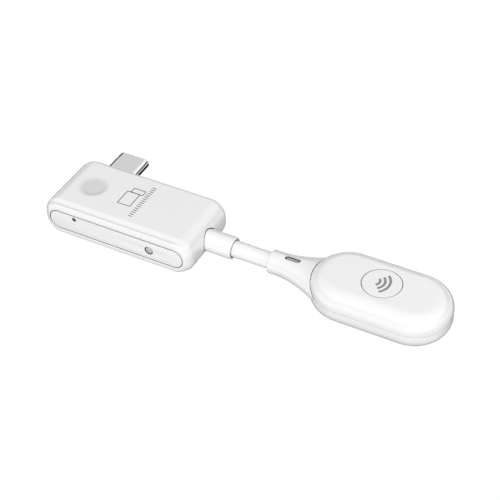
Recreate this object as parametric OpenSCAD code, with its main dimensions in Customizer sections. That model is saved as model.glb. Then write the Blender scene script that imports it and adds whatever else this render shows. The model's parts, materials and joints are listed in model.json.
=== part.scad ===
// Wireless audio dongle: a case with a USB-C plug, a short thick lead and a
// pill-shaped radio pod with a flush pairing button.
// Millimetres. Origin: middle of the case's flat base. +X runs along the lead
// towards the pod, +Y points the way the plug points, +Z is up.

/* [Plug case] */
// Length of the case along X
case_length = 40.4; // [36:0.1:46]
// Width of the case along Y
case_width = 19; // [18:0.1:22]
// Height of the case
case_height = 9.1; // [8.8:0.1:10]
// Wall thickness of the case
case_wall = 1.2; // [1:0.1:1.4]
// Radius of the four long corners seen from the front
case_end_round = 3.85; // [3:0.05:4.2]
// Radius of the four corners seen from above
case_plan_round = 2.25; // [1.6:0.05:3]
// Radius of the long edges seen from the end
case_edge_round = 1.4; // [1.2:0.05:2]
// Length of the stadium-shaped front panel
panel_length = 36.3; // [32:0.1:37]
// Height of the front panel
panel_height = 5.06; // [4.6:0.02:5.4]
// Distance of the microphone hole from the case's middle, towards -X
mic_hole_offset = 11.3; // [9:0.1:13]
// Distance of the status lamp from the case's middle, towards +X
lamp_offset = 9.2; // [7:0.1:11]
// Radius of the shallow finger dish on top
dish_radius = 3.32; // [2.8:0.02:3.6]

/* [USB-C plug] */
// Width of the steel plug shell
plug_width = 8.25; // [8.2:0.01:8.3]
// Thickness of the steel plug shell
plug_thickness = 2.4; // [2.36:0.01:2.44]
// Length of the plug outside the case
plug_reach = 6.9; // [6.5:0.05:7.2]
// Distance of the plug from the case's middle, towards -X
plug_offset = 10.15; // [9:0.05:11]
// Height of the plug's middle plane above the base
plug_level = 6.4; // [5.6:0.1:6.4]

/* [Lead] */
// Outer radius of the strain relief sleeve at the case
sleeve_radius = 2.7; // [2.5:0.05:3]
// Length of the sleeve outside the case
sleeve_length = 6.7; // [5:0.1:8]
// Outer radius of the cable
cable_radius = 2; // [1.8:0.05:2.2]
// Length of the cable between the sleeve and the neck
cable_free = 9.5; // [8:0.1:14]

/* [Pod] */
// Length of the pod
pod_length = 33.3; // [31:0.1:38]
// Width of the pod
pod_width = 17.9; // [17.5:0.1:20]
// Height of the pod
pod_height = 9.1; // [8.8:0.1:10]
// Edge rounding of the pod
pod_round = 3.5; // [3:0.05:3.6]
// Wall thickness of the pod
pod_wall = 1.2; // [1:0.1:1.4]
// Radius of the neck at the cable
neck_radius = 2.8; // [2.7:0.05:3]
// Length of the neck from its mouth to the tip of the pod
neck_reach = 10.7; // [9:0.1:12]
// Half the width of the neck where its flare ends, inside the pod's outline
neck_flare = 7.3; // [6.4:0.1:7.4]

/* [Pairing button] */
// Radius of the round button in the top of the pod
button_radius = 4.5; // [4:0.05:4.6]
// Gap between the button and the hole around it
button_gap = 0.12; // [0.1:0.01:0.15]
// How far the button goes down
button_travel = 0.3; // [0.2:0.05:0.3]

/* [Hidden] */
$fn = 64;
cut = 0.5;
fit = 0.02;
panel_gap = 0.1;

// Plug case, seen from inside
case_end = case_length / 2;
case_side = case_width / 2;
inner_end = case_end - case_wall;
inner_side = case_side - case_wall;
inner_round = 0.4;
panel_level = 4.5;
mic_hole_level = 5.93;
mic_hole_radius = 0.45;
lamp_level = 4.3;
lamp_radius = 1.1;
lamp_collar = 1.45;
dish_depth = 0.22;
dish_sphere = (pow(dish_radius, 2) + pow(dish_depth, 2)) / (2 * dish_depth);
dish_x = -11.76;
dish_y = 0.23;

// Main board, on the middle plane of the plug
board_thick = 0.8;
board_top = plug_level + board_thick / 2;
board_under = plug_level - board_thick / 2;
board_left = -17.6;
board_right = 14.4;
board_front = -7.4;
board_back = 7.4;
mic_size = [3.5, 1, 2.65];
mic_gasket = 0.5;
mic_front = -case_side + case_wall + mic_gasket;
notch_edge = 3.2;
board_pins = [[-1.5, 6.4], [board_right - 2, 6.4]];
board_rests = [[-16.4, -4], [board_right - 2, -5]];
post_size = 0.85;
pin_size = 0.5;

// USB-C plug
plug_x = -plug_offset;
plug_rear = 3.4;
plug_tip = case_side + plug_reach;
plug_skin = 0.3;
plug_block_w = plug_width - 2 * plug_skin - 2 * fit;
plug_block_h = plug_thickness - 2 * plug_skin - 2 * fit;
plug_mouth_w = 6.7;
contact_lift = board_thick / 2;
contact_thick = 0.12;
contact_width = 0.25;
contact_pitch = 0.5;
contact_count = 12;
contact_rear = 2.2;
contact_tip = plug_tip - 1.2;
mouth_rear = 10;
latch_size = [0.2, 0.3];
latch_x = plug_mouth_w / 2 + 0.05;

// Lead, along X at half the height of the case
lead_level = case_height / 2;
sleeve_mouth = case_end + sleeve_length;
neck_mouth = sleeve_mouth + cable_free;
pod_start = neck_mouth + neck_reach;
cable_half = cable_free / 2;
cable_bore = 1.5;
sleeve_sink = 0.9;
sleeve_seat = case_end - 2 * sleeve_sink;
tail_case = inner_end - 3.7;
tail_pod = pod_start + 4.2;
crimp_radius = 2.4;
crimp_length = 1.8;
wire_radius = 0.55;
wire_spread = 0.65;
groove_radius = 2.2;
anchor_radius = 2.5;
flange_radius = 3.1;
flange_thick = 1.1;

// Pod
pod_x = pod_start + pod_length / 2;
pod_seam = pod_height / 2;
pod_inner = [pod_length - 2 * pod_wall, pod_width - 2 * pod_wall, pod_height - 2 * pod_wall];
lip_thick = 0.5;
lip_height = 0.6;
lip_gap = 0.05;
radio_thick = 0.8;
radio_under = 3.6;
radio_top = radio_under + radio_thick;
radio_length = 22;
radio_width = 12;
screw_x = pod_x - 7.2;
screw_y = 3.9;
post_radius = 1.5;
screw_radius = 0.7;
screw_head = [1.3, 0.7];

// Neck, a loft from the round mouth to the wide end on the pod
neck_level = pod_height / 2;
neck_end = pod_start + 3.6;
neck_straight = 2.4;
neck_curve = 1.6;
neck_edge = 0.3;
neck_rings = 15;
neck_sides = 32;
neck_square = 2.5;
neck_bore = cable_radius + fit;
slot_length = 3.9;
slot_width = 1.5;
slot_x = pod_start - 5.2;
slot_depth = 0.7;
slot_fill = 0.35;

// Button and its switch
button_top = pod_height;
button_skirt = 5.1;
button_skirt_z = [7.25, 7.7];
button_hollow = 3.6;
button_roof = 8.1;
boss_radius = 1;
stem_radius = 1.1;
stem_top = 6.9;
stem_bottom = 5.6;
switch_size = 4.6;
switch_top = 6.1;
switch_gap = 0.1;
dome_thick = 0.1;
switch_floor = stem_bottom - button_travel - dome_thick;
dome_height = stem_bottom - switch_floor;
dome_radius = 1.15;

// ---- shared shapes ----

// A rectangle with four round corners
module rounded_rect(w, h, r) {
    square([w - 2 * r, h], center = true);
    square([w, h - 2 * r], center = true);
    for (sx = [-1, 1], sy = [-1, 1])
        translate([sx * (w / 2 - r), sy * (h / 2 - r)]) circle(r = r);
}

// A slot outline with half-round ends
module stadium(w, h) {
    square([w - h, h], center = true);
    for (s = [-1, 1]) translate([s * (w - h) / 2, 0]) circle(r = h / 2);
}

// A box rounded by a different radius in each of its three views, standing on z = 0
module soft_box(l, w, h, r_front, r_plan, r_end) {
    intersection() {
        translate([0, 0, h / 2]) rotate([90, 0, 0])
            linear_extrude(height = w, center = true) rounded_rect(l, h, r_front);
        linear_extrude(height = h) rounded_rect(l, w, r_plan);
        translate([0, 0, h / 2]) rotate([90, 0, 90])
            linear_extrude(height = l, center = true) rounded_rect(w, h, r_end);
    }
}

// Half of the pill's cross-section, on the +X side of its axis
module pill_half_section(w, h, r) {
    intersection() {
        rounded_rect(w, h, r);
        translate([w / 2, 0]) square([w, h], center = true);
    }
}

// A pill: a rounded section swept along X and turned about both ends
module pill(l, w, h, r) {
    straight = l - w;
    rotate([90, 0, 90]) linear_extrude(height = straight, center = true) rounded_rect(w, h, r);
    for (s = [0, 180]) rotate([0, 0, s]) translate([straight / 2, 0, 0]) rotate([0, 0, -90])
        rotate_extrude(angle = 180) pill_half_section(w, h, r);
}

// A stadium prism along Y, from y0 to y1
module prism_y(w, h, y0, y1) {
    translate([0, y1, 0]) rotate([90, 0, 0]) linear_extrude(height = y1 - y0) stadium(w, h);
}

// A round bar along X at the lead's level, from x0 to x1
module bar_x(r, x0, x1) {
    translate([x0, 0, lead_level]) rotate([0, 90, 0]) cylinder(r = r, h = x1 - x0);
}

// A tube along X at the lead's level
module tube_x(r_out, r_in, x0, x1) {
    difference() {
        bar_x(r_out, x0, x1);
        bar_x(r_in, x0 - cut, x1 + cut);
    }
}

// Four wires side by side along X
module wire_bundle(x0, x1) {
    for (sy = [-1, 1], sz = [-1, 1])
        translate([x0, sy * wire_spread, lead_level + sz * wire_spread])
            rotate([0, 90, 0]) cylinder(r = wire_radius, h = x1 - x0, $fn = 24);
}

// A box given by its middle in plan, its size and its lowest level
module chip(x, y, size, z) {
    translate([x - size[0] / 2, y - size[1] / 2, z]) cube(size);
}

// ---- plug case ----

module case_hollow() {
    translate([0, 0, case_wall])
        soft_box(2 * inner_end, 2 * inner_side, case_height - 2 * case_wall,
            case_end_round - case_wall, case_plan_round - case_wall, inner_round);
}

module plug_case() {
    color("white") {
        difference() {
            soft_box(case_length, case_width, case_height,
                case_end_round, case_plan_round, case_edge_round);
            case_hollow();
            translate([0, 0, panel_level])
                prism_y(panel_length + 2 * panel_gap, panel_height + 2 * panel_gap,
                    -case_side - cut, -inner_side + cut);
            translate([plug_x, 0, plug_level])
                prism_y(plug_width + 2 * fit, plug_thickness + 2 * fit,
                    inner_side - cut, case_side + cut);
            bar_x(sleeve_radius + fit, case_end - sleeve_sink, case_end + cut);
            bar_x(groove_radius + fit, sleeve_seat - cut, case_end + cut);
            bar_x(flange_radius + fit, sleeve_seat - 2, sleeve_seat);
            translate([dish_x, dish_y, case_height + dish_sphere - dish_depth])
                sphere(r = dish_sphere, $fn = 180);
        }
        for (at = concat(board_pins, board_rests)) translate([at[0], at[1], case_wall - fit])
            cylinder(r = post_size, h = board_under - case_wall);
        for (at = board_pins) translate([at[0], at[1], board_under - cut])
            cylinder(r = pin_size, h = board_thick + cut + 0.3);
    }
}

module front_panel() {
    color("whitesmoke") difference() {
        translate([0, 0, panel_level])
            prism_y(panel_length, panel_height, -case_side, -case_side + case_wall);
        translate([-mic_hole_offset, 0, mic_hole_level])
            prism_y(2 * mic_hole_radius + 0.001, 2 * mic_hole_radius,
                -case_side - cut, -case_side + case_wall + cut);
        translate([lamp_offset, -case_side - cut, lamp_level]) rotate([-90, 0, 0])
            cylinder(r = lamp_radius + fit, h = case_wall + 2 * cut);
    }
}

module lamp_lens() {
    color("silver") translate([lamp_offset, -case_side, lamp_level]) difference() {
        union() {
            rotate([-90, 0, 0]) cylinder(r = lamp_radius, h = 4);
            translate([0, case_wall + fit, 0]) rotate([-90, 0, 0])
                cylinder(r = lamp_collar, h = 0.5);
        }
        translate([-3, 4, -1.1]) rotate([45, 0, 0]) translate([0, 0, -3]) cube([6, 3, 3]);
    }
}

module status_lamp() {
    color("lightyellow")
        chip(lamp_offset, -case_side + 3.2, [1.6, 0.8, 0.55], lamp_level + lamp_radius + fit);
}

module mic_seal() {
    color("dimgray") translate([-mic_hole_offset, 0, mic_hole_level]) difference() {
        translate([-1.6, -case_side + case_wall, -1.2]) cube([3.2, mic_gasket, 2.4]);
        translate([0, -case_side, 0]) rotate([-90, 0, 0]) cylinder(r = 0.6, h = 4);
    }
}

module microphone() {
    color("silver") translate([-mic_hole_offset, mic_front, mic_hole_level]) difference() {
        translate([-mic_size[0] / 2, 0, -mic_size[2] / 2]) cube(mic_size);
        translate([0, -cut, 0]) rotate([-90, 0, 0]) cylinder(r = 0.3, h = cut + 0.3);
    }
}

// ---- USB-C plug ----

module plug_shell() {
    color("silver") translate([plug_x, 0, plug_level]) difference() {
        prism_y(plug_width, plug_thickness, plug_rear, plug_tip);
        prism_y(plug_width - 2 * plug_skin, plug_thickness - 2 * plug_skin,
            plug_rear - cut, plug_tip + cut);
    }
}

module contact_row() {
    row = (contact_count - 1) * contact_pitch;
    for (i = [0 : contact_count - 1], s = [0, 1]) mirror([0, 0, s])
        translate([i * contact_pitch - row / 2 - contact_width / 2, contact_rear, contact_lift])
            cube([contact_width, contact_tip - contact_rear, contact_thick]);
}

module latch_pair() {
    for (s = [-1, 1])
        translate([s * latch_x - latch_size[0] / 2, 5, -latch_size[1] / 2])
            cube([latch_size[0], plug_tip - 6.6, latch_size[1]]);
    translate([-latch_x, 5, -latch_size[1] / 2]) cube([2 * latch_x, 0.2, latch_size[1]]);
}

module plug_insulator() {
    mouth_h = 2 * (contact_lift + contact_thick);
    color("black") translate([plug_x, 0, plug_level]) difference() {
        prism_y(plug_block_w, plug_block_h, plug_rear, plug_tip - 0.4);
        translate([-plug_mouth_w / 2, mouth_rear, -mouth_h / 2])
            cube([plug_mouth_w, plug_tip, mouth_h]);
        contact_row();
        latch_pair();
    }
}

module plug_contacts() {
    color("gold") translate([plug_x, 0, plug_level]) contact_row();
}

module plug_latch() {
    color("lightgray") translate([plug_x, 0, plug_level]) latch_pair();
}

// ---- main board ----

module main_board() {
    notch_w = plug_width + 0.5;
    mic_notch = [mic_size[0] + 0.6, 2];
    color("darkgreen") difference() {
        translate([board_left, board_front, board_under])
            cube([board_right - board_left, board_back - board_front, board_thick]);
        translate([plug_x - notch_w / 2, notch_edge, board_under - cut])
            cube([notch_w, board_back, board_thick + 2 * cut]);
        translate([-mic_hole_offset - mic_notch[0] / 2, board_front - cut, board_under - cut])
            cube([mic_notch[0], mic_notch[1] + cut, board_thick + 2 * cut]);
        for (at = board_pins) translate([at[0], at[1], board_under - cut])
            cylinder(r = pin_size + 0.1, h = board_thick + 2 * cut);
    }
}

module audio_chip() {
    size = [5, 5, 0.85];
    color("dimgray") chip(-1.2, -1.4, size, board_under - size[2]);
}

module memory_chip() {
    size = [3, 2, 0.6];
    color("dimgray") chip(4.6, 3.8, size, board_under - size[2]);
}

module case_crystal() {
    size = [2.5, 2, 0.65];
    color("silver") chip(4.4, -1.4, size, board_under - size[2]);
}

module power_coil() {
    size = [3, 3, 1.5];
    color("darkslategray") chip(-1.2, 4, size, board_under - size[2]);
}

module case_capacitors() {
    size = [1, 0.5, 0.5];
    color("tan") for (i = [0 : 3], j = [0, 1])
        chip(-4.6 + j * 13, -4.8 + i * 1.6, size, board_under - size[2]);
}

module touch_pad() {
    color("gray") translate([dish_x, dish_y, board_top + fit])
        cylinder(r = 1.9, h = case_height - case_wall - board_top - 2 * fit);
}

// ---- lead ----

module case_sleeve() {
    edge = 0.3;
    shoulder = case_end - sleeve_sink + fit;
    color("white") translate([0, 0, lead_level]) rotate([0, 90, 0]) rotate_extrude()
        polygon([
            [cable_radius + fit, sleeve_seat - flange_thick],
            [flange_radius, sleeve_seat - flange_thick],
            [flange_radius, sleeve_seat - fit], [groove_radius, sleeve_seat - fit],
            [groove_radius, shoulder], [sleeve_radius, shoulder],
            [sleeve_radius, sleeve_mouth - edge], [sleeve_radius - edge, sleeve_mouth],
            [cable_radius + fit, sleeve_mouth]]);
}

module case_cable_end() {
    color("white") tube_x(cable_radius, cable_bore, tail_case, sleeve_mouth);
}

module case_crimp() {
    color("silver") tube_x(crimp_radius, cable_radius + fit, tail_case, tail_case + crimp_length);
}

module case_wires() {
    color("firebrick") wire_bundle(board_right - 2.4, sleeve_mouth);
}

module cable_near() {
    color("white") tube_x(cable_radius, cable_bore, sleeve_mouth, sleeve_mouth + cable_half);
}

module cable_far() {
    color("white") tube_x(cable_radius, cable_bore, sleeve_mouth + cable_half, neck_mouth);
}

module wires_near() {
    color("firebrick") wire_bundle(sleeve_mouth, sleeve_mouth + cable_half);
}

module wires_far() {
    color("firebrick") wire_bundle(sleeve_mouth + cable_half, neck_mouth);
}

// ---- pod ----

module pod_outside(grow = 0) {
    translate([pod_x, 0, pod_height / 2])
        pill(pod_length + 2 * grow, pod_width + 2 * grow, pod_height + 2 * grow, pod_round + grow);
}

module pod_wall_solid() {
    difference() {
        pod_outside();
        translate([pod_x, 0, pod_height / 2])
            pill(pod_inner[0], pod_inner[1], pod_inner[2], pod_round - pod_wall);
        bar_x(anchor_radius + fit, pod_start - cut, pod_start + pod_wall + cut);
        bar_x(flange_radius + fit, pod_start + pod_wall, pod_start + pod_wall + 2);
    }
}

// Keeps what lies between two levels
module between(z0, z1) {
    intersection() {
        children();
        translate([pod_x - pod_length, -pod_width, z0])
            cube([2 * pod_length, 2 * pod_width, z1 - z0]);
    }
}

// Half the width of the neck at distance x from its mouth
function neck_half_width(x) =
    let (s = max(0, (x - neck_straight) / (neck_end - neck_mouth - neck_straight)))
    neck_radius + (neck_flare - neck_radius) * pow(s, neck_curve);

// A little rounding at the mouth
function neck_trim(x) = neck_edge * pow(max(0, 1 - x / neck_edge), 2);

// One ring of the neck: round at the mouth, flatter and squarer towards the pod
function neck_ring(x) =
    let (
        wide = neck_half_width(x) - neck_trim(x),
        high = neck_radius - neck_trim(x),
        n = 2 + (neck_square - 2) * (wide - neck_radius + neck_trim(x)) / (neck_flare - neck_radius)
    )
    [for (i = [0 : neck_sides - 1])
        let (a = 360 * i / neck_sides)
        [neck_mouth + x,
            wide * sign(cos(a)) * pow(abs(cos(a)), 2 / n),
            neck_level + high * sign(sin(a)) * pow(abs(sin(a)), 2 / n)]];

module neck_loft() {
    reach = neck_end - neck_mouth;
    stations = concat([0, neck_edge / 2],
        [for (k = [0 : neck_rings - 1]) neck_edge + (reach - neck_edge) * k / (neck_rings - 1)]);
    rings = [for (x = stations) neck_ring(x)];
    points = [for (ring = rings) each ring];
    last = (len(rings) - 1) * neck_sides;
    sides = [for (k = [0 : len(rings) - 2], i = [0 : neck_sides - 1])
        let (
            j = (i + 1) % neck_sides,
            a = k * neck_sides
        )
        each [[a + i, a + j, a + neck_sides + j], [a + i, a + neck_sides + j, a + neck_sides + i]]];
    ends = [
        [for (i = [0 : neck_sides - 1]) neck_sides - 1 - i],
        [for (i = [0 : neck_sides - 1]) last + i]];
    polyhedron(points = points, faces = concat(sides, ends));
}

module neck_boot() {
    color("white") difference() {
        neck_loft();
        pod_outside(fit);
        bar_x(neck_bore, neck_mouth - cut, neck_end + cut);
        slot_hole(neck_radius - slot_depth, neck_radius + cut);
    }
}

// The slot in the neck's top, between two heights above the lead's axis
module slot_hole(low, high) {
    translate([slot_x, 0, neck_level + low])
        linear_extrude(height = high - low) stadium(slot_length, slot_width);
}

module slot_insert() {
    color("dimgray") slot_hole(neck_radius - slot_depth + fit, neck_radius - slot_fill);
}

// The collar that locks the lead in the end wall of the pod
module lead_anchor() {
    wall_in = pod_start + pod_wall + fit;
    color("white") {
        tube_x(anchor_radius, neck_bore, pod_start + 0.5, wall_in + flange_thick);
        tube_x(flange_radius, neck_bore, wall_in, wall_in + flange_thick);
    }
}

module pod_top() {
    color("white") difference() {
        between(pod_seam, pod_height + cut) pod_wall_solid();
        translate([pod_x, 0, pod_seam]) cylinder(r = button_radius + button_gap, h = pod_height);
    }
}

// The locating rim inside the pod's wall, open where the lead comes in
module lip_ring(gap, z0, z1) {
    inner = 2 * (lip_gap + lip_thick);
    translate([pod_x, 0, z0]) difference() {
        linear_extrude(height = z1 - z0) stadium(pod_inner[0] - 2 * gap, pod_inner[1] - 2 * gap);
        translate([0, 0, -cut]) linear_extrude(height = z1 - z0 + 2 * cut)
            stadium(pod_inner[0] - inner, pod_inner[1] - inner);
        translate([-pod_length / 2, -pod_width / 4, -cut]) cube([4, pod_width / 2, 4]);
    }
}

module pod_bottom() {
    color("white") {
        between(-cut, pod_seam) pod_wall_solid();
        lip_ring(-lip_gap, pod_seam - lip_height, pod_seam);
        lip_ring(lip_gap, pod_seam - lip_height, pod_seam + lip_height);
        for (s = [-1, 1]) translate([screw_x, s * screw_y, pod_wall]) difference() {
            cylinder(r = post_radius, h = radio_under - pod_wall);
            translate([0, 0, 0.2]) cylinder(r = screw_radius + fit, h = radio_under);
        }
    }
}

module pod_cable_end() {
    color("white") tube_x(cable_radius, cable_bore, neck_mouth, tail_pod);
}

module pod_crimp() {
    color("silver")
        tube_x(crimp_radius, cable_radius + fit, tail_pod - crimp_length, tail_pod);
}

module pod_wires() {
    color("firebrick") wire_bundle(neck_mouth, pod_x - radio_length / 2 - fit);
}

module radio_board() {
    color("darkgreen") translate([pod_x, 0, radio_under]) difference() {
        linear_extrude(height = radio_thick) stadium(radio_length, radio_width);
        for (s = [-1, 1]) translate([screw_x - pod_x, s * screw_y, -cut])
            cylinder(r = screw_radius + 0.1, h = radio_thick + 2 * cut);
    }
}

module radio_chip() {
    color("dimgray") chip(pod_x + 6, 0, [4, 4, 0.8], radio_top);
}

module shield_can() {
    size = [5.4, 7, 1.4];
    wall = 0.2;
    color("lightgray") difference() {
        chip(pod_x + 6, 0, size, radio_top);
        chip(pod_x + 6, 0, size - [2 * wall, 2 * wall, wall], radio_top - fit);
    }
}

module antenna() {
    color("ivory") chip(pod_x + 9.8, 0, [1.2, 5, 0.9], radio_top);
}

module pod_crystal() {
    color("silver") chip(pod_x - 4, 0, [1.6, 2, 0.6], radio_top);
}

module pod_capacitors() {
    size = [0.5, 1, 0.5];
    color("tan") for (i = [0 : 3], s = [-1, 1])
        chip(pod_x - 3 + i * 1.5, s * 4.6, size, radio_top);
}

module board_screws() {
    color("silver") for (s = [-1, 1]) translate([screw_x, s * screw_y, 0]) {
        translate([0, 0, 1.8]) cylinder(r = screw_radius, h = radio_top - 1.8 + fit);
        difference() {
            translate([0, 0, radio_top + fit]) cylinder(r = screw_head[0], h = screw_head[1]);
            for (a = [0, 90]) translate([0, 0, radio_top + screw_head[1]]) rotate([0, 0, a])
                cube([1.6, 0.3, 0.5], center = true);
        }
    }
}

// ---- button and switch ----

module switch_body() {
    color("darkgray") difference() {
        chip(pod_x, 0, [switch_size, switch_size, switch_top - radio_top], radio_top);
        translate([pod_x, 0, switch_floor])
            cylinder(r = stem_radius + switch_gap, h = switch_top);
    }
}

module switch_dome() {
    sphere_r = (pow(dome_radius, 2) + pow(dome_height, 2)) / (2 * dome_height);
    color("silver") translate([pod_x, 0, switch_floor]) intersection() {
        translate([0, 0, dome_height - sphere_r]) difference() {
            sphere(r = sphere_r);
            sphere(r = sphere_r - dome_thick);
        }
        cylinder(r = dome_radius, h = dome_height);
    }
}

module switch_stem() {
    color("black") translate([pod_x, 0, stem_bottom])
        cylinder(r = stem_radius, h = stem_top - stem_bottom);
}

module pair_button() {
    color("white") translate([pod_x, 0, 0]) {
        rotate_extrude() polygon([
            [0, button_roof], [button_hollow, button_roof], [button_hollow, button_skirt_z[0]],
            [button_skirt, button_skirt_z[0]], [button_skirt, button_skirt_z[1]],
            [button_radius, button_skirt_z[1]], [button_radius, button_top], [0, button_top]]);
        translate([0, 0, stem_top]) cylinder(r = boss_radius, h = button_roof - stem_top);
    }
}

plug_case();
front_panel();
lamp_lens();
status_lamp();
mic_seal();  // mic_gasket
microphone();
plug_shell();
plug_insulator();
plug_contacts();
plug_latch();
main_board();
audio_chip();
memory_chip();
case_crystal();
power_coil();
case_capacitors();
touch_pad();
case_sleeve();
case_cable_end();
case_crimp();
case_wires();
cable_near();
cable_far();
wires_near();
wires_far();
neck_boot();
lead_anchor();
slot_insert();
pod_top();
pod_bottom();
pod_cable_end();
pod_crimp();
pod_wires();
radio_board();
radio_chip();
shield_can();
antenna();
pod_crystal();
pod_capacitors();
board_screws();
switch_body();
switch_dome();
switch_stem();
pair_button();
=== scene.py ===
"""Looks of a small wireless audio dongle: plug case, short lead and radio pod.

Everything is in metres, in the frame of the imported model: +X along the lead towards the pod,
+Y the way the USB-C plug points, +Z up, origin in the middle of the case's base.
"""

import json
import math

import bmesh
import bpy
import numpy as np
from mathutils import Matrix, Vector


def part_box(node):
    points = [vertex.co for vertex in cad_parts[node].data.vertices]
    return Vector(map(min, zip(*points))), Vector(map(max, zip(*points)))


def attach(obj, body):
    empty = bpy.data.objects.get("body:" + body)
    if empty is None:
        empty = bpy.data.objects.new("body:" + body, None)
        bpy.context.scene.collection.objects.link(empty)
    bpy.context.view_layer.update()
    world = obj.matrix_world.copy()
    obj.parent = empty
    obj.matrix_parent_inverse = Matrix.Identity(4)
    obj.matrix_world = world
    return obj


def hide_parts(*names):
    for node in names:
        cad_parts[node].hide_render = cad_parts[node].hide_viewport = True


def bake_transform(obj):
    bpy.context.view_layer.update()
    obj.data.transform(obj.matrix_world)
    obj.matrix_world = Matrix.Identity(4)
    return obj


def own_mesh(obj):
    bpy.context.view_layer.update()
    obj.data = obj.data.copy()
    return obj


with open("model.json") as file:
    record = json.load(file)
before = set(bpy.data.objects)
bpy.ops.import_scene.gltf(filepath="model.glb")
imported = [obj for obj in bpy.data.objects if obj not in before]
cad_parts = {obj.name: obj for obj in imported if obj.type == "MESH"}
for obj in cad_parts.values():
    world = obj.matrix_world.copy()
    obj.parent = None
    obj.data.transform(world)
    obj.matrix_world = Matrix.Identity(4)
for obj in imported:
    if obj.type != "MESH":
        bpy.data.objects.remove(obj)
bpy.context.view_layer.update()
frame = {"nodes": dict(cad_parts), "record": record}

MM = 0.001

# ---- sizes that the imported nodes' boxes don't give ----

CASE_END_ROUND = 3.85 * MM
CASE_PLAN_ROUND = 2.25 * MM
CASE_EDGE_ROUND = 1.4 * MM
CASE_WALL = 1.2 * MM
FRONT_RIM = 0.47 * MM
PANEL_GAP = 0.17 * MM
PANEL_TRIM = 0.06 * MM
EDGE = 0.08 * MM
DISH = {"x": -11.55 * MM, "y": 0.23 * MM, "radius": 3.95 * MM, "depth": 0.18 * MM}
POD_ROUND = 3.5 * MM
POD_WALL = 1.2 * MM
POD_SEAM_GAP = 0.07 * MM
POD_SEAM_EDGE = 0.07 * MM
NECK_LENGTH = 10.7 * MM
NECK_OVERRUN = 3.6 * MM
NECK_RADIUS = 2.8 * MM
NECK_FLARE = 7.3 * MM
NECK_SQUARE = 2.5
NECK_STRAIGHT = 2.4 * MM
NECK_CURVE = 1.6
NECK_SEAM_GAP = 0.14 * MM
LENS_RADIUS = 1.1 * MM
PINHOLE_RADIUS = 0.55 * MM
INK = 0.012 * MM
SLEEVE_RADIUS = 2.7 * MM
SLEEVE_GAP = 0.22 * MM
SLEEVE_SINK = 0.9 * MM
SLEEVE_NECK_HOLE = 2.25 * MM
CABLE_CLEARANCE = 0.03 * MM
PLUG_CLEARANCE = 0.05 * MM
MOUTH_GAP = 0.22 * MM
# how deep the dark rings of painted shade sit below the surface, and how far dark pieces reach under
# their neighbours
SHADE_RING_DEPTH = 0.05 * MM
DARK_TUCK = 0.02 * MM
LAMP_GAP = 0.12 * MM
BUTTON_RADIUS = 4.5 * MM
BUTTON_GAP = 0.16 * MM

# a stadium's end radius as a share of its half height, just short of a full round
STADIUM = 0.985
SLOT_STADIUM = 0.98
POD_STADIUM = 0.999
# points along each long side, each short side and each corner of a ring of the case
CASE_POINTS = (130, 5, 12)

# ---- places and half sizes (L along X, W along Y, H along Z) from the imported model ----

CASE_LO, CASE_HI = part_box("plug_case")
PANEL_LO, PANEL_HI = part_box("front_panel")
PLUG_LO, PLUG_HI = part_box("plug_shell")
SLEEVE_LO, SLEEVE_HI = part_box("case_sleeve")
NEAR_LO, NEAR_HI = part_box("cable_near")
FAR_LO, FAR_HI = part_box("cable_far")
NECK_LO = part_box("neck_boot")[0]
POD_LO = Vector((NECK_LO.x + NECK_LENGTH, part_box("pod_top")[0].y, 0))
POD_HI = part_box("pod_top")[1]
BUTTON_LO, BUTTON_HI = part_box("pair_button")
LENS_LO, LENS_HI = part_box("lamp_lens")
MIC_LO, MIC_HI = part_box("mic_gasket")
SLOT_LO, SLOT_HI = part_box("slot_insert")

LEAD_Z = (NEAR_LO.z + NEAR_HI.z) / 2
CABLE_RADIUS = (NEAR_HI.z - NEAR_LO.z) / 2
BORE_RADIUS = CABLE_RADIUS + CABLE_CLEARANCE
NECK_REACH = POD_LO.x + NECK_OVERRUN - NECK_LO.x
POD_X = (POD_LO.x + POD_HI.x) / 2
POD_MID = (POD_LO.z + POD_HI.z) / 2
PLUG_X = (PLUG_LO.x + PLUG_HI.x) / 2
PLUG_Z = (PLUG_LO.z + PLUG_HI.z) / 2
PLUG_L = (PLUG_HI.x - PLUG_LO.x) / 2
PLUG_H = (PLUG_HI.z - PLUG_LO.z) / 2
CASE_L = (CASE_HI.x - CASE_LO.x) / 2
CASE_W = (CASE_HI.y - CASE_LO.y) / 2
CASE_H = (CASE_HI.z - CASE_LO.z) / 2
LENS_X, LENS_Z = (LENS_LO.x + LENS_HI.x) / 2, (LENS_LO.z + LENS_HI.z) / 2
MIC_X, MIC_Z = (MIC_LO.x + MIC_HI.x) / 2, (MIC_LO.z + MIC_HI.z) / 2
SLOT_X = (SLOT_LO.x + SLOT_HI.x) / 2
SLOT_L = (SLOT_HI.x - SLOT_LO.x) / 2
SLOT_W = (SLOT_HI.y - SLOT_LO.y) / 2


# ---- mesh helpers ----


def add_mesh(name, verts, faces, sharp=40):
    """A smooth-shaded object with its flats kept flat by weighted normals."""
    mesh = bpy.data.meshes.new(name)
    mesh.from_pydata([tuple(v) for v in verts], [], faces)
    work = bmesh.new()
    work.from_mesh(mesh)
    bmesh.ops.recalc_face_normals(work, faces=work.faces)
    work.to_mesh(mesh)
    work.free()
    mesh.polygons.foreach_set("use_smooth", [True] * len(mesh.polygons))
    mesh.set_sharp_from_angle(angle=math.radians(sharp))
    obj = bpy.data.objects.new(name, mesh)
    bpy.context.scene.collection.objects.link(obj)
    weighted = obj.modifiers.new("flats", "WEIGHTED_NORMAL")
    weighted.keep_sharp = True
    return obj


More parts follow.
